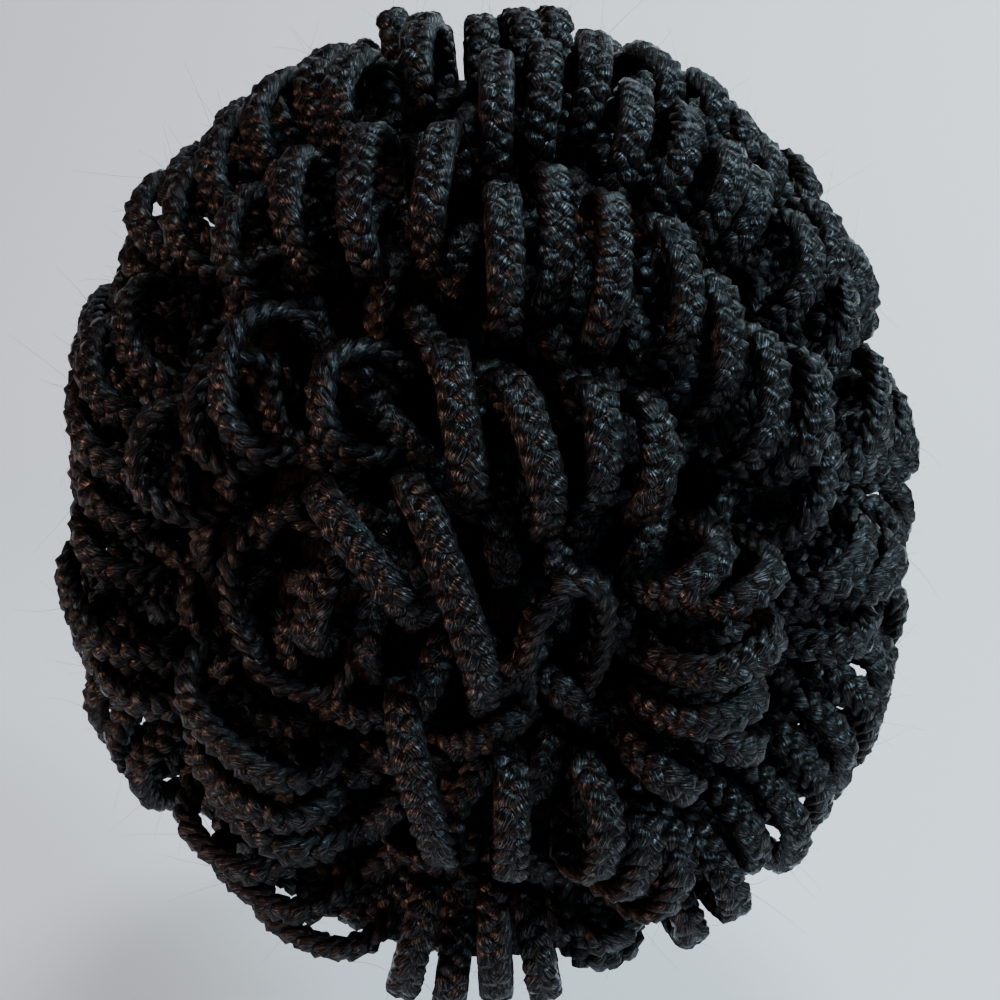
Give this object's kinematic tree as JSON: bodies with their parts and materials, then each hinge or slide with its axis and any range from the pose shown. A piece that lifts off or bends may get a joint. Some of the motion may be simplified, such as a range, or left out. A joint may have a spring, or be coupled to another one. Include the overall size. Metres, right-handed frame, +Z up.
{
  "type": "braid wig",
  "caption": "Dark wig made of three-strand braid sewn to a soft cap in dense standing loops that swirl around two whorls at the back.",
  "frame": {"origin": "inside of the crown, where the wig sits on the head", "axes": "+Z up, +Y the way the wearer faces, +X to the right in a view from behind"},
  "size_m": [0.2134, 0.2294, 0.2255],
  "materials": {
    "cap_cloth": "matte knitted net",
    "braid_hair": "satin fibre"
  },
  "bodies": {
    "root": {"wig_cap": "cap_cloth", "braid_01": "braid_hair", "braid_02": "braid_hair", "braid_03": "braid_hair", "braid_04": "braid_hair", "braid_05": "braid_hair", "braid_06": "braid_hair", "braid_07": "braid_hair", "braid_08": "braid_hair", "braid_09": "braid_hair", "braid_10": "braid_hair", "braid_11": "braid_hair", "braid_12": "braid_hair", "braid_13": "braid_hair", "braid_14": "braid_hair", "braid_15": "braid_hair", "braid_16": "braid_hair", "braid_17": "braid_hair", "braid_18": "braid_hair", "braid_19": "braid_hair", "braid_20": "braid_hair", "braid_21": "braid_hair", "braid_22": "braid_hair", "braid_23": "braid_hair", "braid_24": "braid_hair", "braid_25": "braid_hair", "braid_26": "braid_hair", "braid_27": "braid_hair", "braid_28": "braid_hair", "braid_29": "braid_hair", "braid_30": "braid_hair", "braid_31": "braid_hair", "braid_32": "braid_hair", "braid_33": "braid_hair", "braid_34": "braid_hair", "braid_35": "braid_hair", "braid_36": "braid_hair", "braid_37": "braid_hair", "braid_38": "braid_hair", "braid_39": "braid_hair", "braid_40": "braid_hair", "braid_41": "braid_hair", "braid_42": "braid_hair", "braid_43": "braid_hair", "braid_44": "braid_hair", "braid_45": "braid_hair", "braid_46": "braid_hair", "braid_47": "braid_hair"}
  },
  "joints": []
}
